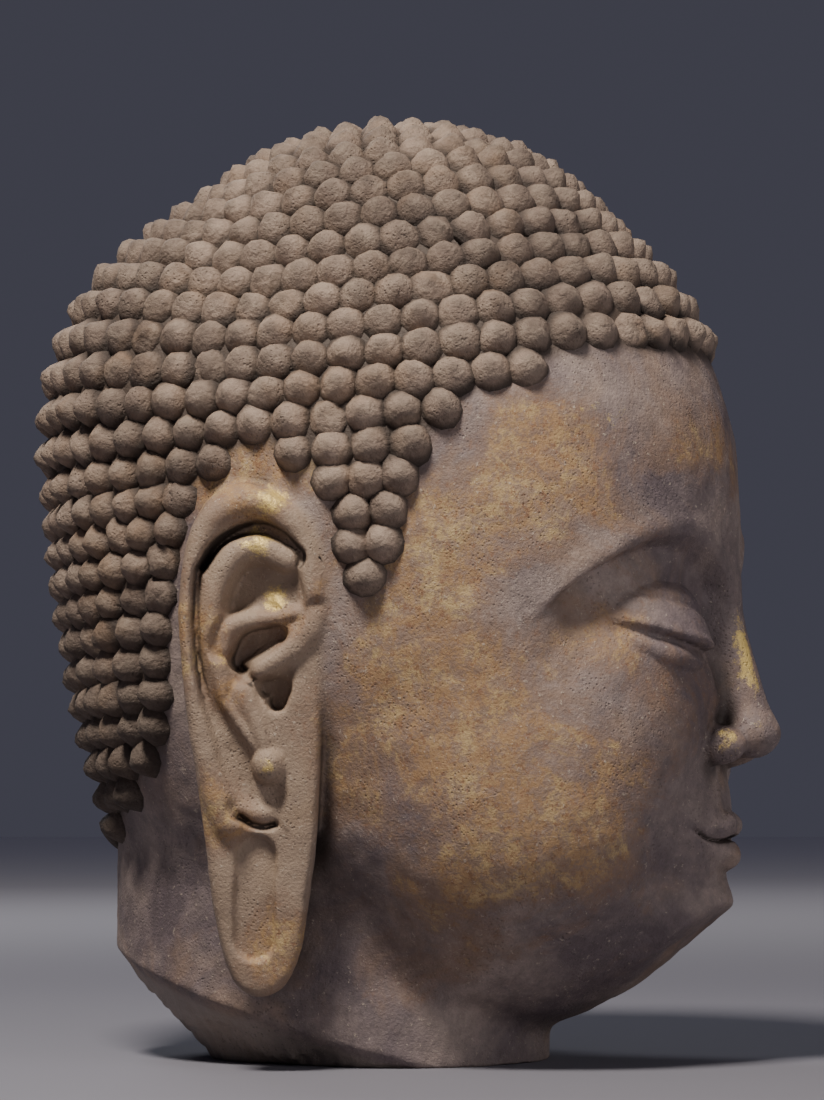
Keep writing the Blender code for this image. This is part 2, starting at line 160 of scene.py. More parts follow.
def strokeDistance(u, v, corners, parts=4):
    # Distance to a smooth line, and the share of its length at the nearest point
    curve = curveThrough(corners, parts)
    steps = np.diff(curve, axis=0)
    lengths = np.sqrt((steps ** 2).sum(1))
    reached = np.concatenate([[0], np.cumsum(lengths)]) / lengths.sum()
    nearest = np.full(u.shape, 1e9, np.float32)
    share = np.zeros(u.shape, np.float32)
    for number, (start, step, length) in enumerate(zip(curve[:-1], steps, lengths)):
        du, dv = u - start[0], v - start[1]
        t = np.clip((du * step[0] + dv * step[1]) / length ** 2, 0, 1)
        off = np.hypot(du - t * step[0], dv - t * step[1])
        closer = off < nearest
        nearest = np.where(closer, off, nearest)
        share = np.where(closer, reached[number] + t * (reached[number + 1] - reached[number]), share)
    return nearest, share


def sideDistance(u, v, start, side):
    du, dv = u - start[0], v - start[1]
    t = np.clip((du * side[0] + dv * side[1]) / (side @ side), 0, 1)
    return np.hypot(du - t * side[0], dv - t * side[1])


def edgeDistance(u, v, loop):
    # Distance in from the edge of a closed outline, negative outside it
    nearest = np.full(u.shape, 1e9, np.float32)
    inside = np.zeros(u.shape, bool)
    for a, b in zip(loop, np.roll(loop, -1, axis=0)):
        side = b - a
        nearest = np.minimum(nearest, sideDistance(u, v, a, side))
        level = (a[1] > v) != (b[1] > v)
        inside ^= level & (u < a[0] + (v - a[1]) * side[0] / (side[1] if side[1] else 1e-9))
    return np.where(inside, nearest, -nearest)


# Stone: the head's mass, face, ears and broken neck, in six-hundredths
neckSettings = {
    "radii": (116.0, 141.0),
    "back": 3.0,
    "top": 270.0,
    "breakFront": -95.0,
    "breakSlope": 0.30,
    "breakRise": 1.0,
}

# Eggs that run together, the face's on both sides alike: (name, middle, radii, softness of the join)
headEggs = (
    ("skull", (0, -40, 358), (176, 221, 209), 0),
    ("sides under the skull", (0, 0, 255), (160, 161, 198), 40),
    ("crown", (0, -40, 490), (128, 136, 99), 24),
    ("back of the head", (0, 54, 410), (150, 127, 130), 24),
    ("face", (0, -102, 250), (157, 155, 198), 36),
    ("jaw", (62, -128, 158), (84, 104, 96), 36),
    ("throat", (0, -92, 96), (106, 122, 80), 24),
    ("chin", (0, -204, 98), (42, 48, 38), 36),
)

faceSettings = {  # lines as (x, z) on the figure's left half
    "brow": ((0, 283), (12, 293), (34, 314), (66, 324), (98, 316), (130, 290), (150, 262)),
    "browEnds": (108, 146),
    "browRoll": 2.0,
    "socketDepth": 12.0,
    "socketStart": (-1.5, 11),  # below the brow, as the next one
    "socketEnd": (30, 78),
    "lid": ((24, 254), (40, 255), (60, 258), (80, 263), (99, 270)),
    "lidEnds": (24, 34, 94, 104),
    "lidBulge": 11.0,
    "lidCut": 6.0,
    "lidCutBand": (-0.6, 1.6, 2.5, 17),
    "lidCrease": 1.6,
    "creaseRise": 24.0,
    "eyeMiddle": (61, 268),
    "eyeRadii": (39, 27),
    "cheek": (6.0, 70, 46, 214, 36),  # height, then middle and reach in x and in z
    "hollowOverChin": (-4.0, 0, 30, 114, 11),
    "mouthCorner": (-2.2, 50, 6, 147, 8),
    "smileFold": (-2.6, 38, 11),
    "smileBand": (128, 150, 170, 196),
    "smileSlope": 0.42,
    "philtrum": ((-2.6, 0, 5), (1.0, 8.5, 3)),  # the groove, then the ridges beside it
    "philtrumBand": (152, 160, 176, 184),
    "lips": ((0, 140), (12, 138), (28, 139), (43, 145)),
    "partingDepth": 4.0,
    "frontOf": (-120, -170),  # the relief fades out to the sides between these
}

# Rods on the face: (name, start, end, radius at each, softness of the join)
noseBridge = ((0, -248, 304), (0, -273, 208), (10, 14), 14)
lipRods = (
    ("upper lip", (7, -257.5, 147.5), (40, -243, 146), (7.5, 2.0), 5),
    ("lower lip", (0, -256, 129), (28, -246, 136), (9.5, 3.5), 6),
)
# Eggs on the face in the order of their joining: (name, middle, radii, softness, whether it is cut away)
faceEggs = (
    ("tip of the nose", (0, -272, 203), (17, 18, 14), 8, False),
    ("wing of the nose", (21, -256, 197), (12, 18, 12), 5, False),
    ("nostril", (10, -264, 185), (6.5, 10, 6), 2, True),
    ("mound of the mouth", (0, -226, 146), (56, 30, 38), 24, False),
    ("ball of the chin", (0, -216, 94), (36, 42, 31), 16, False),
)

earSettings = {
    "middle": (176.0, -14.0, 203.0),
    "flare": math.radians(17),
    "lean": 0.085,
    "bend": 0.00018,
    "thickness": 26.0,
    "edgeRound": 7.0,
    "backRound": 8.0,
    "rootInset": 14.0,
    "rootTop": 22.0,
    "rootDepth": 95.0,
    "rootJoin": 12.0,
    "headJoin": 6.0,
    "outline": (
        (-3, 149), (-29, 137), (-44, 94), (-44, 36), (-36, -40), (-30, -110), (-20, -149), (0, -157),
        (18, -138), (30, -80), (37, -16), (40, 50), (44, 92), (32, 129),
    ),
}

# How far each carving reaches, so that it is worked out there alone
carvingReach = {
    "faceBack": -110.0,
    "breakTop": 110.0,
    "earInside": 60.0,
    "earAround": 75.0,
    "earTop": 380.0,
}


def insideNeck(x, y):
    rx, ry = neckSettings["radii"]
    return (1 - np.hypot(x / rx, (y - neckSettings["back"]) / ry)) * rx


def headMass(points):
    x, y, z = points.T
    q = np.stack([np.abs(x), y, z], 1)
    _, middle, radii, _ = headEggs[0]
    form = egg(q, middle, radii)
    for _, middle, radii, soft in headEggs[1:]:
        form = smoothMin(form, egg(q, middle, radii), soft)
    return smoothMin(form, smoothMax(-insideNeck(x, y), z - neckSettings["top"], 30), 10)


def dab(x, z, form):
    height, middleX, reachX, middleZ, reachZ = form
    return height * hump(x, middleX, reachX) * hump(z, middleZ, reachZ)


def faceRelief(points):
    face = faceSettings
    x, z = np.abs(points[:, 0]), points[:, 2]
    below = lineHeight(x, face["brow"]) - z
    side = 1 - ramp(*face["browEnds"], x)
    socket = ramp(*face["socketStart"], below) * (1 - ramp(*face["socketEnd"], below))
    relief = -face["socketDepth"] * socket * side * ramp(4, 22, x)
    relief += face["browRoll"] * hump(below, -6, 8) * side
    # Closed upper lid, full over the eye and cut under along its edge
    (eyeX, eyeZ), (wide, tall) = face["eyeMiddle"], face["eyeRadii"]
    dome = np.clip(1 - ((x - eyeX) / wide) ** 2 - ((z - eyeZ) / tall) ** 2, 0, 1)
    relief += face["lidBulge"] * np.sqrt(dome + 0.01) - 0.1 * face["lidBulge"]
    edge = lineHeight(x, face["lid"])
    under = edge - z
    eye = band(x, *face["lidEnds"])
    relief -= face["lidCut"] * eye * band(under, *face["lidCutBand"])
    relief += 1.3 * eye * hump(under, 9, 4)
    relief += 1.2 * eye * hump(under, -3, 2.2)
    crease = edge + face["creaseRise"] - 0.004 * (x - eyeX) ** 2
    relief -= face["lidCrease"] * eye * hump(z, crease, 2.2)
    # Cheek, smile fold, philtrum and the hollow over the chin
    relief += dab(x, z, face["cheek"])
    height, middle, reachX = face["smileFold"]
    fold = hump(x - (190 - z) * face["smileSlope"], middle, reachX)
    relief += height * fold * band(z, *face["smileBand"])
    for height, middle, reachX in face["philtrum"]:
        relief += height * hump(x, middle, reachX) * band(z, *face["philtrumBand"])
    relief += dab(x, z, face["hollowOverChin"]) + dab(x, z, face["mouthCorner"])
    return relief * ramp(*face["frontOf"], points[:, 1])


def noseAndLips(points, form):
    q = points.copy()
    q[:, 0] = np.abs(q[:, 0])
    start, end, radii, soft = noseBridge
    form = smoothMin(form, taperedRod(q, start, end, *radii), soft)
    for _, middle, radii, soft, cut in faceEggs:
        lump = egg(q, middle, radii)
        form = smoothMax(form, -lump, soft) if cut else smoothMin(form, lump, soft)
    for _, start, end, radii, soft in lipRods:
        form = smoothMin(form, taperedRod(q, start, end, *radii), soft)
    parting = lineHeight(q[:, 0], faceSettings["lips"])
    near = 1 - ramp(40, 47, q[:, 0])
    cut = faceSettings["partingDepth"] * near * hump(q[:, 2], parting, 1.3)
    return form + cut * ramp(-225, -240, q[:, 1])


def breakHeight(x, y):
    # Height of the broken face under the neck, below zero over the flat
    edge = neckSettings["breakSlope"] * np.clip(y - neckSettings["breakFront"], 0, None)
    inside = insideNeck(x, y)
    rough = 5 * np.sin(x / 13 + 1) * np.sin(y / 17 + 0.5) + 3 * np.sin(x / 7 - y / 9)
    rough += 1.6 * np.sin(x / 3.1 + y / 4.3) * np.sin(y / 2.7 - x / 5.9)
    return edge - neckSettings["breakRise"] * inside + rough * ramp(2, 20, inside)


# Ear carving on its own flat, each stroke over the ones before it: (name, level, how much its middle is
# crowned, half width at its start and at its end, softness of its side, line as (u, v))
earStrokes = (
    ("basin", -7.0, 0.0, (16.0, 16.0), 9.0, ((-8, 88), (0, 60), (4, 36))),
    ("hollow", -16.0, 0.0, (9.0, 9.0), 9.0, ((-12, 82), (0, 90), (16, 92), (25, 86))),
    ("rim", 2.5, 4.5, (9.0, 9.5), 6.0, (
        (39, 68), (37, 84), (33, 104), (22, 126), (0, 137), (-22, 129), (-35, 106), (-39, 70), (-38, 20),
        (-33, -10), (-26, -36), (-19, -54))),
    ("lower basin", -4.5, 0.0, (5.0, 12.0), 9.0, ((-22, 14), (-14, -8), (-6, -26), (2, -38))),
    ("rear channel", -3.0, 0.0, (1.5, 3.0), 4.0, (
        (-33, 96), (-34, 84), (-35, 60), (-33, 36), (-28, 14), (-20, -4))),
    ("groove under the rim", -16.0, 0.0, (1.4, 5.2), 3.5, (
        (-31, 98), (-20, 113), (0, 121), (14, 116), (24, 104))),
    ("long fold", 0.5, 4.5, (8.5, 6.5), 6.0, (
        (20, 103), (2, 110), (-14, 103), (-23, 86), (-26, 65), (-24, 45), (-18, 24), (-8, 7), (1, -6))),
    ("shelf", -2.0, 3.5, (6.5, 5.0), 6.0, ((-20, 50), (-16, 61), (-5, 66), (12, 68), (25, 71))),
    ("ear hole", -24.0, 0.0, (6.0, 4.0), 3.0, ((-9, 43), (-4, 53), (6, 57), (14, 58))),
    ("lip in the hole", -11.0, 2.0, (2.8, 2.8), 2.0, ((-6, 41), (3, 47), (12, 54))),
    ("front flap", 2.0, 3.5, (8.0, 6.5), 5.0, ((39, 70), (28, 55), (14, 44), (3, 37))),
    ("notch", -17.0, 0.0, (4.5, 4.5), 3.0, ((6, 27), (15, 27), (12, 18))),
    ("stem of the drop", 0.5, 4.0, (8.5, 4.5), 5.0, ((-8, 22), (-1, 7), (4, -8))),
    ("drop", 3.5, 7.0, (9.0, 9.0), 2.5, ((6, -19), (6.2, -20.5))),
    ("lobe slot", -5.0, 0.0, (11.5, 11.5), 2.0, ((-3.3, -73), (-5.5, -98), (-6.5, -124))),
    ("ridge over the slot", -1.5, 1.5, (5.0, 5.0), 8.0, ((-12, -45), (-4, -48), (6, -48))),
    ("cut over the slot", -7.0, 0.0, (1.3, 1.3), 2.6, ((-13, -50), (-6, -54), (1, -56), (9, -54.5))),
)
earLoop = curveThrough(earSettings["outline"], 5, closed=True)


def earCoordinates(points):
    # Along the ear to the front, up it, and out of it
    middleX, middleY, middleZ = earSettings["middle"]
    v = points[:, 2] - middleZ
    x = np.abs(points[:, 0]) - (middleX + earSettings["lean"] * v - earSettings["bend"] * v * v)
    y = points[:, 1] - middleY
    c, s = math.cos(earSettings["flare"]), math.sin(earSettings["flare"])
    return -y * c - x * s, v, x * c - y * s


def earHeight(u, v):
    height = np.zeros_like(u)
    for _, level, crown, halfWidths, soft, line in earStrokes:
        off, share = strokeDistance(u, v, line)
        halfWidth = halfWidths[0] + (halfWidths[1] - halfWidths[0]) * share
        shape = level + crown * (1 - np.clip(off / halfWidth, 0, 1) ** 2)
        height += (shape - height) * (1 - ramp(halfWidth - soft / 2, halfWidth + soft / 2 + 1, off))
    return height


def ear(points):
    u, v, n = earCoordinates(points)
    edge = edgeDistance(u, v, earLoop)
    height = earHeight(u, v)
    slab = smoothMax(n - height, -edge, earSettings["edgeRound"])
    slab = smoothMax(slab, -n - earSettings["thickness"], earSettings["backRound"])
    # The root holds the ear to the head from behind
    root = smoothMax(earSettings["rootInset"] - edge, n + earSettings["rootTop"], 6)
    root = smoothMax(root, -n - earSettings["rootDepth"], 4)
    return smoothMin(slab, root, earSettings["rootJoin"])


def stoneForm(points):
    form = headMass(points)
    front = points[:, 1] < carvingReach["faceBack"]
    some = points[front]
    form[front] = noseAndLips(some, form[front] - faceRelief(some))
    x, y, z = points.T
    low = z < carvingReach["breakTop"]
    form[low] = smoothMax(form[low], breakHeight(x[low], y[low]) - z[low], 1.5)
    around = np.abs(y - earSettings["middle"][1]) < carvingReach["earAround"]
    near = (np.abs(x) > carvingReach["earInside"]) & around & (z < carvingReach["earTop"])
    some = points[near]
    form[near] = smoothMin(form[near], ear(some), earSettings["headJoin"])
    return np.maximum(form, -z)


# Hair: bud curls in rows that sink a little to the back
hairSettings = {
    "pitch": 22.5,
    "middle": (0.0, -38.0, 368.0),
    "firstRow": 443.0,
    "rowTilt": math.radians(3.4),
    "sideRadius": 178.0,
    "frontReach": 215.0,
    "firstRowInset": 1.0,
    "rowsBelow": 24,
    # (y, z) seen from the side: forehead, temple, over the ear, and behind it to the nape
    "line": (
        (-400, 432), (-196, 431), (-167, 414), (-139, 400), (-116, 369), (-100, 316), (-84, 272),
        (-66, 298), (-61, 340), (-46, 358), (-12, 374), (16, 362), (35, 340), (42, 304), (50, 257),
        (57, 196), (98, 160), (134, 134), (400, 132),
    ),
}


def hairDepth(points):
    # Distance up into the hair from its edge, seen from the side, negative on the skin
    line = np.array(hairSettings["line"], np.float32)
    y, z = points[:, 1], points[:, 2]
    nearest = np.full(y.shape, 1e9, np.float32)
    for start, side in zip(line[:-1], np.diff(line, axis=0)):
        nearest = np.minimum(nearest, sideDistance(y, z, start, side))
    return np.where(z > np.interp(y, *line.T), nearest, -nearest)


def reach(origins, directions):
    # Points where rays from inside leave the head's mass
    near = np.zeros(len(directions))
    far = np.full(len(directions), 420.0)
    for _ in range(24):
        middle = (near + far) / 2
        out = headMass(origins + directions * middle[:, None]) > 0
        far = np.where(out, middle, far)
        near = np.where(out, near, middle)
    return origins + directions * far[:, None]


def outward(points):
    slope = [headMass(points + 2 * axis) - headMass(points - 2 * axis) for axis in np.eye(3)]
    slope = np.stack(slope, 1)
    return slope / np.linalg.norm(slope, axis=1)[:, None]


def hairRow(turns, rise, drop):
    # One row's curve: rise is an angle above the hair's middle, drop a distance below it
    flat = np.stack([np.sin(turns), -np.cos(turns), np.full_like(turns, math.tan(rise))], 1)
    flat /= np.linalg.norm(flat, axis=1)[:, None]
    c, s = math.cos(hairSettings["rowTilt"]), math.sin(hairSettings["rowTilt"])
    tilt = np.array(((1, 0, 0), (0, c, -s), (0, s, c)))
    origin = np.array(hairSettings["middle"]) - drop * tilt.T[2]
    return reach(np.tile(origin, (len(turns), 1)), flat @ tilt)


def lengthsAlong(curve):
    return np.concatenate([[0], np.cumsum(np.linalg.norm(np.diff(curve, axis=0), axis=1))])


def pointsAlong(curve, at):
    lengths = lengthsAlong(curve)
    return np.stack([np.interp(at, lengths, curve[:, k]) for k in range(3)], 1)


def curlPlaces():
    pitch, side = hairSettings["pitch"], hairSettings["sideRadius"]
    rowPitch = pitch * math.sqrt(3) / 2
    front = hairSettings["frontReach"] * math.tan(hairSettings["rowTilt"])
    height = hairSettings["firstRow"] - hairSettings["middle"][2] - front
    rise = math.atan2(height, side - hairSettings["firstRowInset"])
    # Whole rows from the forehead up to the crown, evenly spaced along the side
    rises = np.linspace(rise, math.pi / 2 - 0.002, 200)
    profile = np.concatenate([hairRow(np.array([math.pi / 2]), angle, 0.0) for angle in rises])
    lengths = lengthsAlong(profile)
    count = round(lengths[-1] / rowPitch)
    steps = np.interp(np.arange(count) / count * lengths[-1], lengths, rises)
    turns = np.linspace(math.pi, 3 * math.pi, 721)
    places = [profile[-1:]]
    for number, angle in enumerate(steps[::-1]):
        curve = hairRow(turns, angle, 0.0)
        total = lengthsAlong(curve)[-1]
        around = max(6, round(total / pitch))
        at = (np.arange(around) + 0.5 * (number % 2)) * total / around
        places.append(pointsAlong(curve, at))
    # Rows below, between the forehead's and the ears' edges of the hair
    for number in range(1, hairSettings["rowsBelow"] + 1):
        down = rise - number * rowPitch / side
        curve = hairRow(turns + math.pi, max(down, 0.0), max(-down, 0.0) * side)
        lengths = lengthsAlong(curve)
        covered = (hairDepth(curve.astype(np.float32)) > 0).astype(int)
        starts = np.flatnonzero(np.diff(covered) == 1) + 1
        ends = np.flatnonzero(np.diff(covered) == -1)
        for start, end in zip(starts, ends):
            width = lengths[end] - lengths[start]
            count = round(width / pitch)
            if count > 5 and (number + count) % 2:
                count -= 1
            if count > 0:
                at = lengths[start] + (np.arange(count) + 0.5) * width / count
                places.append(pointsAlong(curve, at))
    return np.concatenate(places)


# From the form to a mesh: each cell that the surface passes through gets one point
def sampleForm(form, low, high, size, coarse=5, farValue=50, batch=1500):
    # Values on a grid, worked out in full only in the coarse cells that the surface may pass through
    low = np.array(low, float)
    blocks = np.ceil((np.array(high) - low) / (size * coarse)).astype(int)
    axes = [low[k] + size * coarse * np.arange(blocks[k] + 1) for k in range(3)]
    corners = np.stack(np.meshgrid(*axes, indexing="ij"), -1).reshape(-1, 3).astype(np.float32)
    rough = form(corners).reshape(blocks + 1)
    close = np.abs(rough) < size * coarse * 1.3 + 8
    needed = np.zeros(blocks, bool)
    for i, j, k in np.ndindex(2, 2, 2):
        needed |= close[i:blocks[0] + i, j:blocks[1] + j, k:blocks[2] + k]
    far = np.where(rough[:-1, :-1, :-1] < 0, -farValue, farValue).astype(np.float32)
    values = np.full(blocks * coarse + 1, farValue, np.float32)
    values[:-1, :-1, :-1] = far.repeat(coarse, 0).repeat(coarse, 1).repeat(coarse, 2)
    offsets = np.stack(np.meshgrid(*[np.arange(coarse + 1)] * 3, indexing="ij"), -1).reshape(-1, 3)
    found = np.argwhere(needed)
    for start in range(0, len(found), batch):
        cells = (found[start:start + batch, None] * coarse + offsets).reshape(-1, 3)
        values[tuple(cells.T)] = form((low + cells * size).astype(np.float32))
    return values, low


def surfaceNet(values, low, size):
    inside = values < 0
    shape = np.array(inside.shape) - 1
    count = np.zeros(shape, np.uint8)
    for i, j, k in np.ndindex(2, 2, 2):
        count += inside[i:shape[0] + i, j:shape[1] + j, k:shape[2] + k]
    cells = np.argwhere((count > 0) & (count < 8))
    numbers = np.full(shape, -1, np.int32)
    numbers[tuple(cells.T)] = np.arange(len(cells))
    total = np.zeros((len(cells), 3))
    crossings = np.zeros(len(cells))
    corners = list(np.ndindex(2, 2, 2))
    for first in corners:
        for second in corners:
            way = np.subtract(second, first)
            if sorted(way) != [0, 0, 1]:
                continue
            a = values[tuple((cells + first).T)]
            b = values[tuple((cells + second).T)]
            crossed = (a < 0) != (b < 0)
            share = np.where(crossed, a / np.where(crossed, a - b, 1), 0)
            total += np.where(crossed[:, None], first + share[:, None] * way, 0)
            crossings += crossed
    points = low + size * (cells + total / crossings[:, None])
    quads = []
    for axis in range(3):
        second, third = (axis + 1) % 3, (axis + 2) % 3
        lower = [slice(None)] * 3
        upper = [slice(None)] * 3
        lower[axis], upper[axis] = slice(0, -1), slice(1, None)
        edges = np.argwhere(inside[tuple(lower)] != inside[tuple(upper)])
        held = (edges[:, second] > 0) & (edges[:, third] > 0)
        edges = edges[held]
        around = []
        for back, side in ((-1, -1), (0, -1), (0, 0), (-1, 0)):
            cell = edges.copy()
            cell[:, second] += back
            cell[:, third] += side
            around.append(numbers[tuple(cell.T)])
        quad = np.stack(around, 1)
        turned = inside[tuple(lower)][tuple(edges.T)]
        quads.append(np.where(turned[:, None], quad, quad[:, ::-1]))
    return points, np.concatenate(quads)


def meshFrom(name, points, quads):
    mesh = bpy.data.meshes.new(name)
    mesh.vertices.add(len(points))
    mesh.vertices.foreach_set("co", (points * unit).astype(np.float32).ravel())
    mesh.loops.add(quads.size)
    mesh.loops.foreach_set("vertex_index", quads.astype(np.int32).ravel())
    mesh.polygons.add(len(quads))
    mesh.polygons.foreach_set("loop_start", np.arange(0, quads.size, 4, dtype=np.int32))
    mesh.update(calc_edges=True)
    mesh.validate()
    mesh.shade_smooth()
    return mesh


def setAttribute(mesh, name, values):
    mesh.attributes.new(name, "FLOAT", "POINT").data.foreach_set("value", values.astype(np.float32))


# Core piece: the stone itself under the curls, with its carved face, ears and broken neck
coreSettings = {
    "voxel": 1.7,
    "quickVoxel": 3.0,
    "low": (-206.0, -300.0, -6.0),
    "high": (206.0, 204.0, 600.0),
    "triangles": 190000,
    "unevenness": (("broad hollows", 34.0, 2.2), ("chisel waves", 11.0, 0.9)),  # name, across, height
}
occlusionReach = (3.0, 7.0, 16.0)  # how far out each look for a hollow goes, for the painted shade and dirt in the hollows


def cavity(points, normals):
    # Nearly 0 in the open, towards 1 in a narrow cut; the skin's painted shade in hollows is laid by it
    closeness = np.zeros(len(points))
    for far in occlusionReach:
        clear = stoneForm((points + normals * far).astype(np.float32)) / far
        closeness += 1 - np.clip(clear, 0, 1)
    return closeness / len(occlusionReach)


def edgeWear(points, normals, depth=5.0):
    # Nearly 0 on a broad surface, towards 1 along a thin edge
    inner = -stoneForm((points - normals * depth).astype(np.float32)) / depth
    return 1 - np.clip(inner, 0, 1)


def softSpots(points, spots):
    value = np.zeros(len(points))
    for strength, middle, radii in spots:
        off = (points - np.array(middle)) / np.array(radii)
        value = np.maximum(value, strength * np.exp(-(off ** 2).sum(1)))
    return value


def earSpots(points, spots):
    # Spots given on the ear's own flat
    u, v, n = earCoordinates(points)
    value = np.zeros(len(points))
    for strength, (su, sv), radius in spots:
        off = ((u - su) ** 2 + (v - sv) ** 2) / radius ** 2
        value = np.maximum(value, strength * np.exp(-off) * (n > -16))
    return value


# Where ochre and gold leaf are left: (strength, middle, radii) on the head, and on an ear
# (strength, (u, v), radius)
giltSettings = {
    "ochre": (
        (1.0, (-122, -165, 362), (66, 60, 56)),
        (0.95, (-150, -110, 300), (70, 60, 70)),
        (1.0, (-140, -120, 215), (80, 80, 76)),
        (1.0, (-120, -160, 150), (80, 80, 66)),
        (0.45, (-50, -246, 372), (30, 30, 30)),
        (0.55, (-90, -220, 240), (40, 40, 50)),
        (0.8, (95, -196, 340), (70, 60, 60)),
        (0.9, (120, -150, 190), (60, 70, 90)),
        (0.5, (0, -250, 380), (60, 40, 30)),
        (1.0, (-172, 0, 366), (44, 70, 34)),
        (0.8, (170, 0, 365), (40, 60, 30)),
    ),
    "gold": (
        (0.85, (-7, -270, 250), (8, 16, 40)),
        (0.9, (-26, -262, 199), (9, 12, 11)),
        (0.5, (-14, -280, 214), (8, 12, 20)),
        (0.6, (-96, -196, 392), (50, 40, 22)),
        (0.52, (-132, -150, 336), (44, 40, 34)),
        (0.4, (-60, -232, 262), (34, 20, 14)),
        (0.42, (-130, -150, 190), (50, 50, 60)),
        (0.5, (26, -262, 199), (10, 12, 12)),
    ),
    "earOchre": (
        (0.8, (-24, -50), 26), (0.8, (8, -128), 26), (0.7, (-36, 60), 30), (0.9, (0, 150), 34),
        (0.6, (-16, 20), 18), (0.7, (20, 64), 20),
    ),
    "earGold": (
        (0.75, (12, 138), 17), (0.75, (2, 113), 17), (0.8, (12, 79), 13), (0.72, (6, -20), 9),
        (0.6, (-20, 42), 10), (0.45, (5, 0), 10), (0.5, (-6, -122), 16), (0.45, (-30, -20), 12),
    ),
}


def buildCore():
    size = coreSettings["voxel"]
    values, low = sampleForm(stoneForm, coreSettings["low"], coreSettings["high"], size)
    report("form sampled")
    points, quads = surfaceNet(values, low, size)
    points[:, 2] = np.maximum(points[:, 2], 0)
    obj = newObject("head_stone", meshFrom("head stone", points, quads))
    for name, across, strength in coreSettings["unevenness"]:
        cloud = bpy.data.textures.new(name, "CLOUDS")
        cloud.noise_scale = across * unit
        push = obj.modifiers.new(name, "DISPLACE")
        push.texture = cloud
        push.strength = strength * unit
    thin = obj.modifiers.new("thin", "DECIMATE")
    thin.ratio = min(1.0, coreSettings["triangles"] / (2 * len(quads)))
    obj = toMesh(obj, "stone_head")
    report(f"core {len(quads)} cells, {len(obj.data.polygons)} faces")
    return obj


def toMesh(obj, name):
    # The evaluated result as a plain object at the origin
    graph = bpy.context.evaluated_depsgraph_get()
    mesh = bpy.data.meshes.new_from_object(obj.evaluated_get(graph))
    bpy.data.objects.remove(obj)
    mesh.name = name
    return newObject(name, mesh)


def addCoreMasks(obj):
    mesh = obj.data
    points = np.empty(len(mesh.vertices) * 3, np.float32)
    mesh.vertices.foreach_get("co", points)
    points = points.reshape(-1, 3) / unit
    normals = np.empty(len(mesh.vertices) * 3, np.float32)
    mesh.vertex_normals.foreach_get("vector", normals)
    normals = normals.reshape(-1, 3)
    setAttribute(mesh, "cavity", cavity(points, normals))
    setAttribute(mesh, "wear", edgeWear(points, normals))
    for name, onEars in (("ochre", "earOchre"), ("gold", "earGold")):
        left = np.maximum(softSpots(points, giltSettings[name]), earSpots(points, giltSettings[onEars]))
        setAttribute(mesh, name, left)
    u, v, n = earCoordinates(points)
    onEar = ramp(-6, 4, edgeDistance(u, v, earLoop)) * ramp(-24, -12, n)
    setAttribute(mesh, "ear", onEar)
    # Mask of the scalp under the curls, where the skin gets painted shade
    setAttribute(mesh, "shadedScalp", ramp(-2, 10, hairDepth(points)) * (1 - onEar))
    inside = insideNeck(points[:, 0], points[:, 1])
    setAttribute(mesh, "broken", ramp(3, 9, inside) * (1 - ramp(60, 110, points[:, 2])))


# Curls: one bud, set on every place by Geometry Nodes
curlSettings = {
    "profile": ((15.4, -5.0), (14.2, -1.6), (11.8, 2.4), (8.4, 6.6), (4.4, 10.4)),
    "tip": 12.2,
    "sides": 12,
    "unevenness": 4.4,
    "roughScale": 95.0,
    "seed": 11,
    "tilt": 0.10,
    "smallest": (0.94, 0.94, 0.90),
    "largest": (1.06, 1.06, 1.10),
    "wornLower": -0.34,
    "wornRougher": 1.6,
    "wornShare": 0.06,
    "wornAmount": 0.6,
    "worn": (  # places of chipped curls on the visible side
        (-172, 38, 349), (-172, 16, 419), (-168, -53, 399), (-60, -215, 446), (-76, -205, 440),
        (-40, -226, 462), (-168, 60, 300),
    ),
}


def budMesh():
    sides = curlSettings["sides"]
    bm = bmesh.new()
    rings = []
    for radius, height in curlSettings["profile"]:
        ring = []
        for number in range(sides):
            turn = 2 * math.pi * number / sides
            ring.append(bm.verts.new((radius * math.cos(turn), radius * math.sin(turn), height)))
        rings.append(ring)
    for lower, upper in zip(rings[:-1], rings[1:]):
        for a in range(sides):
            b = (a + 1) % sides
            bm.faces.new((lower[a], lower[b], upper[b], upper[a]))
    tip = bm.verts.new((0, 0, curlSettings["tip"]))
    for a in range(sides):
        bm.faces.new((rings[-1][a], rings[-1][(a + 1) % sides], tip))
    bm.faces.new(rings[0][::-1])
    bmesh.ops.scale(bm, vec=(unit, unit, unit), verts=bm.verts)
    mesh = bpy.data.meshes.new("bud")
    bm.to_mesh(mesh)
    bm.free()
    mesh.shade_smooth()
    heights = np.array([v.co.z for v in mesh.vertices]) / unit
    setAttribute(mesh, "rise", np.clip(heights / curlSettings["tip"], 0, 1))
    return mesh


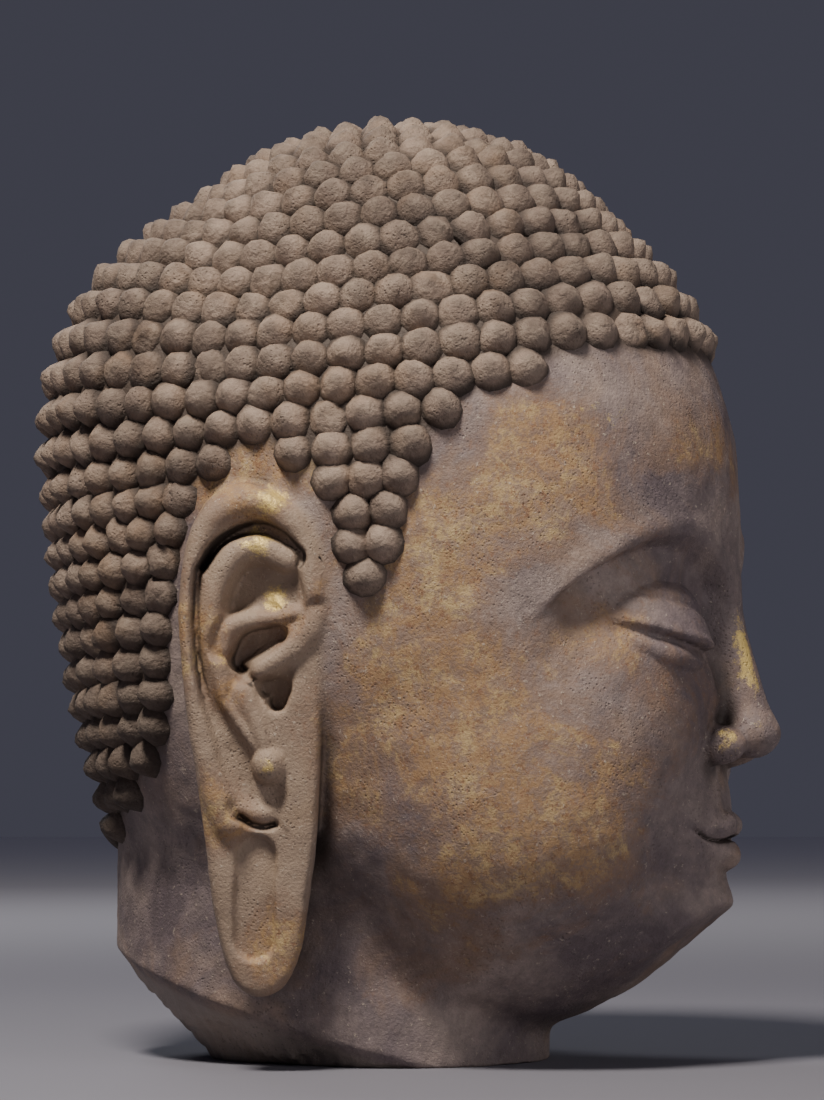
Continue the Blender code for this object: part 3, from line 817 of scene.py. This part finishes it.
def curlTree():
    tree, given, made = newGroup(
        "curls over the scalp",
        (("Geometry", "Geometry"), ("Bud", "Object"), ("Unevenness", "Float"), ("Rough Scale", "Float"),
         ("Seed", "Int"), ("Material", "Material")),
        (("Geometry", "Geometry"),), "GeometryNodeTree",
    )
    facing = addNode(tree, "GeometryNodeInputNamedAttribute", {"Name": "facing"}, data_type="FLOAT_VECTOR")
    worn = addNode(tree, "GeometryNodeInputNamedAttribute", {"Name": "worn"}, data_type="FLOAT")
    turn = addNode(tree, "FunctionNodeRandomValue", {"Max": 2 * math.pi, "Seed": given["Seed"]},
                   data_type="FLOAT")
    upright = addNode(tree, "FunctionNodeAlignRotationToVector", {"Vector": facing.outputs[0]}, axis="Z")
    about = addNode(tree, "FunctionNodeAxisAngleToRotation", {"Axis": (0, 0, 1), "Angle": turn.outputs[1]})
    turned = addNode(tree, "FunctionNodeRotateRotation", {
        "Rotation": upright.outputs[0], "Rotate By": about.outputs[0]}, rotation_space="LOCAL")
    sizes = addNode(tree, "FunctionNodeRandomValue", {
        "Min": curlSettings["smallest"], "Max": curlSettings["largest"],
        "Seed": calculate(tree, "ADD", given["Seed"], 7.0),
    }, data_type="FLOAT_VECTOR")
    lower = vectorMath(tree, "SCALE", (0.0, 0.0, curlSettings["wornLower"]), worn.outputs[0])
    bud = addNode(tree, "GeometryNodeObjectInfo", {"Object": given["Bud"]})
    placed = addNode(tree, "GeometryNodeInstanceOnPoints", {
        "Points": given["Geometry"], "Instance": bud.outputs["Geometry"],
        "Rotation": turned.outputs[0], "Scale": vectorMath(tree, "ADD", sizes.outputs[0], lower),
    })
    real = addNode(tree, "GeometryNodeRealizeInstances", {"Geometry": placed.outputs[0]})
    # Every point is pushed about a little, the worn curls' more
    noise = addNode(tree, "ShaderNodeTexNoise", {"Scale": given["Rough Scale"], "Detail": 2.0})
    centred = vectorMath(tree, "SUBTRACT", noise.outputs["Color"], (0.5, 0.5, 0.5))
    rougher = calculate(tree, "MULTIPLY_ADD", worn.outputs[0], curlSettings["wornRougher"], 1.0)
    shift = vectorMath(tree, "SCALE", centred, times(tree, given["Unevenness"], rougher))
    moved = addNode(tree, "GeometryNodeSetPosition", {"Geometry": real.outputs[0], "Offset": shift})
    last = addNode(tree, "GeometryNodeSetMaterial", {
        "Geometry": moved.outputs[0], "Material": given["Material"]})
    tree.links.new(last.outputs[0], made["Geometry"])
    return tree


def buildCurls(material):
    places = curlPlaces()
    facing = outward(places.astype(np.float32))
    random = np.random.default_rng(curlSettings["seed"])
    facing = facing + random.normal(0, curlSettings["tilt"], facing.shape)
    facing /= np.linalg.norm(facing, axis=1)[:, None]
    worn = (random.random(len(places)) < curlSettings["wornShare"]) * curlSettings["wornAmount"]
    for place in curlSettings["worn"]:
        worn[np.argmin(np.linalg.norm(places - np.array(place), axis=1))] = 1.0
    mesh = bpy.data.meshes.new("curl places")
    mesh.vertices.add(len(places))
    mesh.vertices.foreach_set("co", (places * unit).ravel())
    mesh.attributes.new("facing", "FLOAT_VECTOR", "POINT").data.foreach_set("vector", facing.ravel())
    setAttribute(mesh, "worn", worn)
    setAttribute(mesh, "tone", random.random(len(places)))
    obj = newObject("curl places", mesh)
    bud = bpy.data.objects.new("bud", budMesh())
    modifier = obj.modifiers.new("curls", "NODES")
    modifier.node_group = curlTree()
    inputs = {
        "Bud": bud, "Unevenness": curlSettings["unevenness"] * unit, "Seed": curlSettings["seed"],
        "Rough Scale": curlSettings["roughScale"], "Material": material,
    }
    for item in modifier.node_group.interface.items_tree:
        if item.in_out == "INPUT" and item.name in inputs:
            modifier[item.identifier] = inputs[item.name]
    obj = toMesh(obj, "hair_curls")
    bpy.data.objects.remove(bud)
    obj.data.shade_smooth()
    report(f"{len(places)} curls, {len(obj.data.polygons)} faces")
    return obj


# Helpers for node trees
def addNode(tree, kind, inputs=None, **settings):
    node = tree.nodes.new(kind)
    for name, value in settings.items():
        setattr(node, name, value)
    for name, value in (inputs or {}).items():
        socket = node.inputs[name]
        if isinstance(value, bpy.types.NodeSocket):
            tree.links.new(value, socket)
        else:
            socket.default_value = value
    return node


def tint(red, green, blue):
    # A colour as seen on a screen, 0 to 255, turned to light
    return tuple(((c / 255 + 0.055) / 1.055) ** 2.4 for c in (red, green, blue)) + (1.0,)


def mixColour(tree, share, low, high, blend="MIX"):
    inputs = {0: share, 6: low, 7: high}
    return addNode(tree, "ShaderNodeMix", inputs, data_type="RGBA", blend_type=blend).outputs[2]


def shaded(tree, colour, shade):
    grey = addNode(tree, "ShaderNodeCombineColor", {0: shade, 1: shade, 2: shade}).outputs[0]
    return mixColour(tree, 1.0, colour, grey, "MULTIPLY")


def layer(tree, colour, where, coat):
    # The coat's colour laid over another, as thick as where says times the coat's own share
    tone, share = coat
    return mixColour(tree, times(tree, where, share), colour, tone)


def calculate(tree, operation, *values):
    return addNode(tree, "ShaderNodeMath", dict(enumerate(values)), operation=operation).outputs[0]


def times(tree, first, second):
    return calculate(tree, "MULTIPLY", first, second)


def flipped(tree, value):
    return calculate(tree, "SUBTRACT", 1.0, value)


def vectorMath(tree, operation, first, second):
    inputs = {0: first, 3 if operation == "SCALE" else 1: second}
    return addNode(tree, "ShaderNodeVectorMath", inputs, operation=operation).outputs[0]


def stepped(tree, value, start, end):
    inputs = {"Value": value, "From Min": start, "From Max": end}
    node = addNode(tree, "ShaderNodeMapRange", inputs, interpolation_type="SMOOTHSTEP")
    return node.outputs["Result"]


def attribute(tree, name):
    return addNode(tree, "ShaderNodeAttribute", attribute_name=name).outputs["Fac"]


def noiseOf(tree, place, scale, detail=3.0, roughness=0.6, distortion=0.0):
    return addNode(tree, "ShaderNodeTexNoise", {
        "Vector": place, "Scale": scale, "Detail": detail, "Roughness": roughness, "Distortion": distortion,
    }).outputs["Fac"]


def newGroup(name, inputs, outputs, kind="ShaderNodeTree"):
    tree = bpy.data.node_groups.new(name, kind)
    for way, sockets in (("INPUT", inputs), ("OUTPUT", outputs)):
        for label, held in sockets:
            tree.interface.new_socket(label, in_out=way, socket_type="NodeSocket" + held)
    return tree, tree.nodes.new("NodeGroupInput").outputs, tree.nodes.new("NodeGroupOutput").inputs


def weatheredGroup():
    # Pitted, scratched stone: a height for the bump, pits and fine speckle as masks
    tree, given, made = newGroup(
        "weathered stone",
        (("Place", "Vector"), ("Grain Scale", "Float"), ("Grain", "Float"), ("Pits", "Float"),
         ("Scratches", "Float")),
        (("Height", "Float"), ("Pits", "Float"), ("Speckle", "Float")),
    )
    place = given["Place"]
    grain = addNode(tree, "ShaderNodeTexNoise", {
        "Vector": place, "Scale": given["Grain Scale"], "Detail": 5.0, "Roughness": 0.62})
    coarse = noiseOf(tree, place, 55.0, 4.0, 0.55)
    cells = addNode(tree, "ShaderNodeTexVoronoi", {"Vector": place, "Scale": 360.0, "Randomness": 1.0})
    where = stepped(tree, noiseOf(tree, place, 24.0, 2.0), 0.42, 0.66)
    hole = flipped(tree, stepped(tree, cells.outputs["Distance"], 0.06, 0.36))
    pits = times(tree, times(tree, hole, where), given["Pits"])
    stretched = addNode(tree, "ShaderNodeMapping", {
        "Vector": place, "Rotation": (0.3, 0.9, 0.4), "Scale": (18.0, 160.0, 160.0)})
    lines = addNode(tree, "ShaderNodeTexNoise", {
        "Vector": stretched.outputs[0], "Scale": 1.0, "Detail": 1.0})
    ridge = calculate(tree, "ABSOLUTE", calculate(tree, "SUBTRACT", lines.outputs["Fac"], 0.5))
    scratch = flipped(tree, stepped(tree, ridge, 0.0, 0.012))
    rare = stepped(tree, noiseOf(tree, place, 11.0, 2.0), 0.56, 0.66)
    scratch = times(tree, times(tree, scratch, rare), given["Scratches"])
    height = calculate(tree, "MULTIPLY_ADD", grain.outputs["Fac"], given["Grain"], times(tree, coarse, 0.7))
    height = calculate(tree, "SUBTRACT", height, times(tree, pits, 0.8))
    height = calculate(tree, "SUBTRACT", height, times(tree, scratch, 0.35))
    tree.links.new(height, made["Height"])
    tree.links.new(pits, made["Pits"])
    tree.links.new(stepped(tree, noiseOf(tree, place, 420.0, 2.0), 0.52, 0.72), made["Speckle"])
    return tree


def mottleGroup():
    # Two stone tones in cloudy patches with a little fine mottling
    tree, given, made = newGroup(
        "stone mottling",
        (("Place", "Vector"), ("Light Tone", "Color"), ("Dark Tone", "Color"), ("Warm Tone", "Color")),
        (("Color", "Color"),),
    )
    place = given["Place"]
    broad = stepped(tree, noiseOf(tree, place, 9.0, 5.0, 0.62, 0.4), 0.32, 0.68)
    fine = stepped(tree, noiseOf(tree, place, 90.0, 7.0, 0.85), 0.36, 0.66)
    warm = stepped(tree, noiseOf(tree, place, 15.0, 5.0, 0.6, 0.8), 0.48, 0.7)
    colour = mixColour(tree, broad, given["Dark Tone"], given["Light Tone"])
    colour = mixColour(tree, times(tree, warm, 0.5), colour, given["Warm Tone"])
    tree.links.new(shaded(tree, colour, calculate(tree, "MULTIPLY_ADD", fine, 0.36, 0.8)), made["Color"])
    return tree


# Materials: the carved skin with its ochre and gold, and the darker hair
skinSettings = {
    "grainScale": 520.0,
    "grain": 0.9,
    "pits": 0.65,
    "scratches": 1.0,
    "light": tint(147, 131, 123),
    "dark": tint(95, 83, 86),
    "warm": tint(140, 114, 92),
    # Coats as (colour, share), and the edges that their masks step over
    "ear": (tint(152, 130, 106), 0.65),
    "film": (tint(126, 101, 84), 0.6),
    "filmEdge": (0.66, 0.82),
    "ochre": tint(154, 121, 82),
    "ochreLight": tint(184, 158, 110),
    "ochreEdge": (0.79, 0.91),
    "ochreShare": 0.8,
    "rust": (tint(122, 84, 58), 0.75),
    "rustEdge": (0.54, 0.61),
    "chip": (tint(182, 168, 152), 0.65),
    "chipEdge": (0.61, 0.66),
    "gold": (tint(220, 192, 116), 0.85),
    "goldEdge": (0.82, 0.98),
    "goldMetal": 0.45,
    "goldPolish": 0.26,
    "wear": (tint(150, 138, 128), 0.35),
    "broken": (tint(150, 138, 128), 0.6),
    # painted shade on the scalp between the curls
    "shadedScalp": (tint(70, 58, 50), 1.0),
    # colour of the painted shade in the hollows, with dirt in the pits
    "shadeAndGrime": tint(48, 38, 33),
    "shadeAndGrimeEdge": (0.34, 0.86),
    "shadeAndGrimeShare": 0.9,
    "pitGrime": 0.55,
    "roughness": 0.66,
    "bump": 0.75,
    "bumpHeight": 0.0012,
}

hairColours = {
    "grainScale": 260.0,
    "grain": 1.7,
    "pits": 0.6,
    "scratches": 0.4,
    "light": tint(136, 118, 105),
    "dark": tint(98, 83, 74),
    "warm": tint(126, 100, 76),
    "dust": (tint(152, 136, 121), 0.45),
    "rubbed": (tint(40, 32, 28), 0.4),
    # colour of the painted shade at the curls' feet and down the nape, with dirt in the pits
    "shadeAndGrime": tint(40, 32, 28),
    "footShadeShare": 0.85,
    "napeHeights": (0.2, 0.37),
    "napeShare": 0.68,
    "pitGrime": 0.55,
    "roughness": 0.8,
    "bump": 0.9,
    "bumpHeight": 0.0016,
}


def principled(material):
    material.use_nodes = True
    return material.node_tree, material.node_tree.nodes["Principled BSDF"]


def stoneNodes(tree, weathered, mottle, values):
    # The texture and the tones that both stones share, each with its own values
    place = addNode(tree, "ShaderNodeTexCoord").outputs["Object"]
    stone = addNode(tree, "ShaderNodeGroup", {
        "Place": place, "Grain Scale": values["grainScale"], "Grain": values["grain"],
        "Pits": values["pits"], "Scratches": values["scratches"],
    }, node_tree=weathered)
    clouds = addNode(tree, "ShaderNodeGroup", {
        "Place": place, "Light Tone": values["light"], "Dark Tone": values["dark"],
        "Warm Tone": values["warm"],
    }, node_tree=mottle)
    return place, stone.outputs, clouds.outputs["Color"]


def finish(tree, shader, stone, colour, values, gold=None):
    # Colour, roughness and grain on the shader, with gold leaf smoother and partly metal
    rough = calculate(tree, "MULTIPLY_ADD", stone["Speckle"], 0.1, values["roughness"])
    if gold is not None:
        rough = calculate(tree, "SUBTRACT", rough, times(tree, gold, values["goldPolish"]))
        tree.links.new(times(tree, gold, values["goldMetal"]), shader.inputs["Metallic"])
    tree.links.new(colour, shader.inputs["Base Color"])
    tree.links.new(rough, shader.inputs["Roughness"])
    bump = addNode(tree, "ShaderNodeBump", {
        "Height": stone["Height"], "Strength": values["bump"], "Distance": values["bumpHeight"]})
    tree.links.new(bump.outputs[0], shader.inputs["Normal"])


def skinMaterial(weathered, mottle):
    values = skinSettings
    material = bpy.data.materials.new("carved stone with ochre and gold")
    tree, shader = principled(material)
    place, stone, colour = stoneNodes(tree, weathered, mottle, values)
    colour = layer(tree, colour, attribute(tree, "ear"), values["ear"])
    # Ochre remains: a brown film, ragged flakes of the coat on it, and rust-brown specks
    patches = calculate(tree, "MULTIPLY_ADD", attribute(tree, "ochre"), 0.5,
                        times(tree, noiseOf(tree, place, 16.0, 9.0, 0.74, 0.5), 1.15))
    colour = layer(tree, colour, stepped(tree, patches, *values["filmEdge"]), values["film"])
    ragged = stepped(tree, noiseOf(tree, place, 120.0, 8.0, 0.82, 0.3), 0.44, 0.54)
    ragged = calculate(tree, "MULTIPLY_ADD", ragged, 0.78, 0.22)
    ochre = times(tree, stepped(tree, patches, *values["ochreEdge"]), ragged)
    ochreTone = mixColour(tree, stepped(tree, noiseOf(tree, place, 40.0, 6.0, 0.75), 0.44, 0.64),
                          values["ochre"], values["ochreLight"])
    colour = layer(tree, colour, ochre, (ochreTone, values["ochreShare"]))
    specks = stepped(tree, noiseOf(tree, place, 190.0, 6.0, 0.85), *values["rustEdge"])
    specks = times(tree, specks, stepped(tree, patches, 0.6, 0.95))
    colour = layer(tree, colour, specks, values["rust"])
    chips = stepped(tree, noiseOf(tree, place, 260.0, 5.0, 0.8), *values["chipEdge"])
    colour = layer(tree, colour, chips, values["chip"])
    # Gold leaf left in small worn flakes
    flakes = calculate(tree, "MULTIPLY_ADD", attribute(tree, "gold"), 0.62,
                       noiseOf(tree, place, 120.0, 9.0, 0.85))
    gold = stepped(tree, flakes, *values["goldEdge"])
    colour = layer(tree, colour, gold, values["gold"])
    # Paler along worn edges, fresher stone on the break, painted shade on the scalp under the curls, and
    # painted shade in the hollows with dirt in the pits
    colour = layer(tree, colour, stepped(tree, attribute(tree, "wear"), 0.25, 0.8), values["wear"])
    for name in ("broken", "shadedScalp"):
        colour = layer(tree, colour, attribute(tree, name), values[name])
    # The cavity mask gives painted shade in hollows and creases, and the pits add dirt
    hollowShadeAndDirt = calculate(tree, "MULTIPLY_ADD", noiseOf(tree, place, 34.0, 5.0), 0.3,
                       attribute(tree, "cavity"))
    shadeAndGrime = times(tree, stepped(tree, hollowShadeAndDirt, *values["shadeAndGrimeEdge"]), values["shadeAndGrimeShare"])
    shadeAndGrime = calculate(tree, "MAXIMUM", shadeAndGrime, times(tree, stone["Pits"], values["pitGrime"]))
    colour = mixColour(tree, shadeAndGrime, colour, values["shadeAndGrime"])
    finish(tree, shader, stone, colour, values, gold)
    return material


def hairMaterial(weathered, mottle):
    values = hairColours
    material = bpy.data.materials.new("carved hair stone")
    tree, shader = principled(material)
    place, stone, colour = stoneNodes(tree, weathered, mottle, values)
    rise, tone = attribute(tree, "rise"), attribute(tree, "tone")
    colour = shaded(tree, colour, calculate(tree, "MULTIPLY_ADD", tone, 0.3, 0.84))
    dusty = times(tree, stepped(tree, rise, 0.2, 0.6),
                  stepped(tree, noiseOf(tree, place, 60.0, 4.0, 0.7), 0.35, 0.7))
    colour = layer(tree, colour, dusty, values["dust"])
    rubbed = times(tree, stepped(tree, rise, 0.72, 1.0),
                   stepped(tree, noiseOf(tree, place, 36.0, 3.0, 0.6), 0.3, 0.65))
    colour = layer(tree, colour, rubbed, values["rubbed"])
    # Painted shade at the foot of each curl between the curls, and darker down the nape, partly painted
    # shade and partly darker stone, with dirt in the pits
    footShade = flipped(tree, stepped(tree, rise, 0.0, 0.45))
    shadeAndGrime = calculate(tree, "MAXIMUM", times(tree, footShade, values["footShadeShare"]),
                      times(tree, stone["Pits"], values["pitGrime"]))
    level = addNode(tree, "ShaderNodeSeparateXYZ", {0: place}).outputs["Z"]
    level = calculate(tree, "MULTIPLY_ADD", noiseOf(tree, place, 30.0, 4.0), 0.1, level)
    nape = flipped(tree, stepped(tree, level, *values["napeHeights"]))
    shadeAndGrime = calculate(tree, "MAXIMUM", shadeAndGrime, times(tree, nape, values["napeShare"]))
    colour = mixColour(tree, shadeAndGrime, colour, values["shadeAndGrime"])
    finish(tree, shader, stone, colour, values)
    return material


# Studio: a plain floor, a warm soft key from above and to the left, a weak fill from the right and a cool
# light from behind
studioSettings = {
    "floorRadius": 14.0,
    "floorColour": tint(112, 111, 120),
    "farPaintedLight": tint(236, 234, 240),
    "farFrom": (0.8, 4.5),  # the floor is painted paler with distance, painted light that stands in for the lamps' light falling off, so that it meets the backdrop softly
    "worldColour": tint(120, 120, 138),
    "worldStrength": 0.29,
    # (name, right, up, towards the camera, size, watts, colour)
    "lamps": (
        ("key", -0.6, 2.1, 1.25, 0.6, 112.0, (1.0, 0.93, 0.84)),
        ("fill", 2.0, 0.5, 1.9, 1.6, 20.0, (0.97, 0.93, 0.92)),
        ("back light", -1.2, 2.0, -2.2, 1.2, 26.0, (0.9, 0.93, 1.0)),
    ),
}


def buildStudio(target, back, right):
    bm = bmesh.new()
    bmesh.ops.create_circle(bm, cap_ends=True, segments=96, radius=studioSettings["floorRadius"])
    mesh = bpy.data.meshes.new("floor")
    bm.to_mesh(mesh)
    bm.free()
    floor = newObject("floor", mesh)
    material = bpy.data.materials.new("pale floor")
    tree, shader = principled(material)
    place = addNode(tree, "ShaderNodeTexCoord").outputs["Object"]
    distance = addNode(tree, "ShaderNodeVectorMath", {0: place}, operation="LENGTH").outputs["Value"]
    # Painted light: the floor pales with distance to make up for the lamps' falloff
    colour = mixColour(tree, stepped(tree, distance, *studioSettings["farFrom"]),
                       studioSettings["floorColour"], studioSettings["farPaintedLight"])
    tree.links.new(colour, shader.inputs["Base Color"])
    shader.inputs["Roughness"].default_value = 0.8
    mesh.materials.append(material)
    world = bpy.data.worlds.new("studio")
    world.use_nodes = True
    background = world.node_tree.nodes["Background"]
    background.inputs["Color"].default_value = studioSettings["worldColour"]
    background.inputs["Strength"].default_value = studioSettings["worldStrength"]
    bpy.context.scene.world = world
    up = Vector((0, 0, 1))
    level = Vector((back.x, back.y, 0)).normalized()
    for name, along, height, near, across, watts, colour in studioSettings["lamps"]:
        data = bpy.data.lights.new(name, "AREA")
        data.shape = "DISK"
        data.size = across
        data.energy = watts
        data.color = colour
        lamp = newObject(name, data)
        lamp.location = target + right * along + up * height + level * near
        lamp.rotation_euler = (lamp.location - target).to_track_quat("Z", "Y").to_euler()


target, back, right = addCamera(viewSettings)
weathered = weatheredGroup()
mottle = mottleGroup()
skinStone = skinMaterial(weathered, mottle)
hairStone = hairMaterial(weathered, mottle)
report("materials made")

core = buildCore()
addCoreMasks(core)
core.data.materials.append(skinStone)
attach(core, "root")
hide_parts("buddha_head")
report("core dressed")

curls = buildCurls(hairStone)
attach(curls, "root")

buildStudio(target, back, right)
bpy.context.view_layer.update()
report("done")
